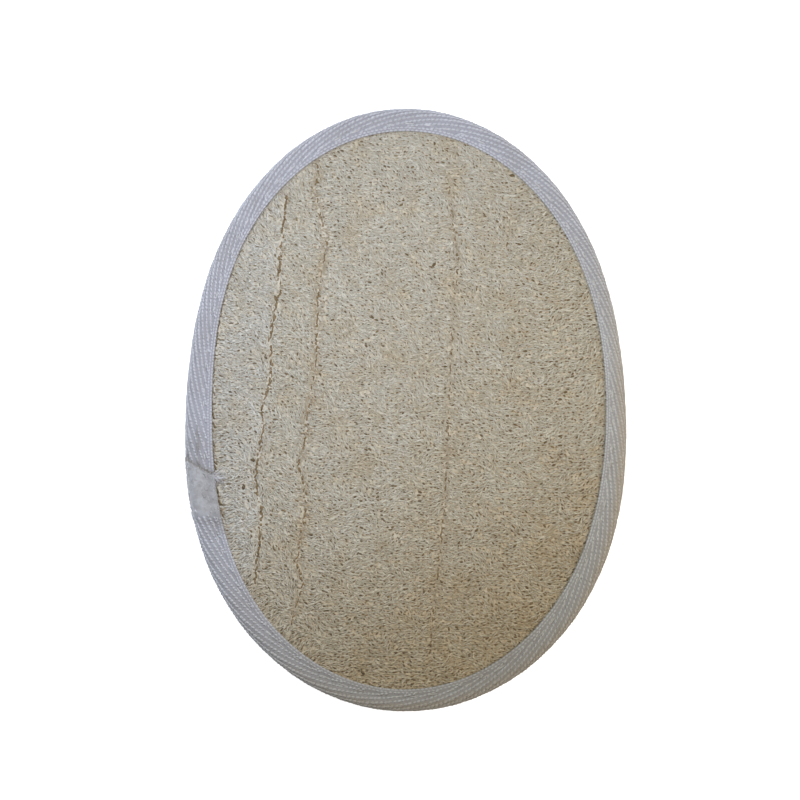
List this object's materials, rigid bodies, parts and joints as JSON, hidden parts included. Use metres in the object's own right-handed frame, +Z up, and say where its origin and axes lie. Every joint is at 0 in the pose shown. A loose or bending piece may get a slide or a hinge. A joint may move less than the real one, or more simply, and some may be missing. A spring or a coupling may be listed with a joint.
{
  "type": "oval loofah bath pad with cotton tape binding",
  "caption": "Flat oval bath pad of pressed natural loofah with a raised net of fibres and long creases, its edge bound with a folded and sewn cotton tape.",
  "frame": {"origin": "middle of the small flat spot on the back, under the middle of the outline, at the height of the surface that the pad rests on", "axes": "+Z up through the face, +Y along the long axis towards the slightly narrower end, +X across with the tape's lap on the -X side"},
  "size_m": [0.1098, 0.15, 0.009],
  "materials": {
    "loofah_fibre": "matte",
    "cotton_tape": "matte",
    "cotton_thread": "matte"
  },
  "bodies": {
    "root": {"loofah_pad": "loofah_fibre", "binding_tape": "cotton_tape", "needle_thread": "cotton_thread", "bobbin_thread": "cotton_thread"}
  },
  "joints": []
}
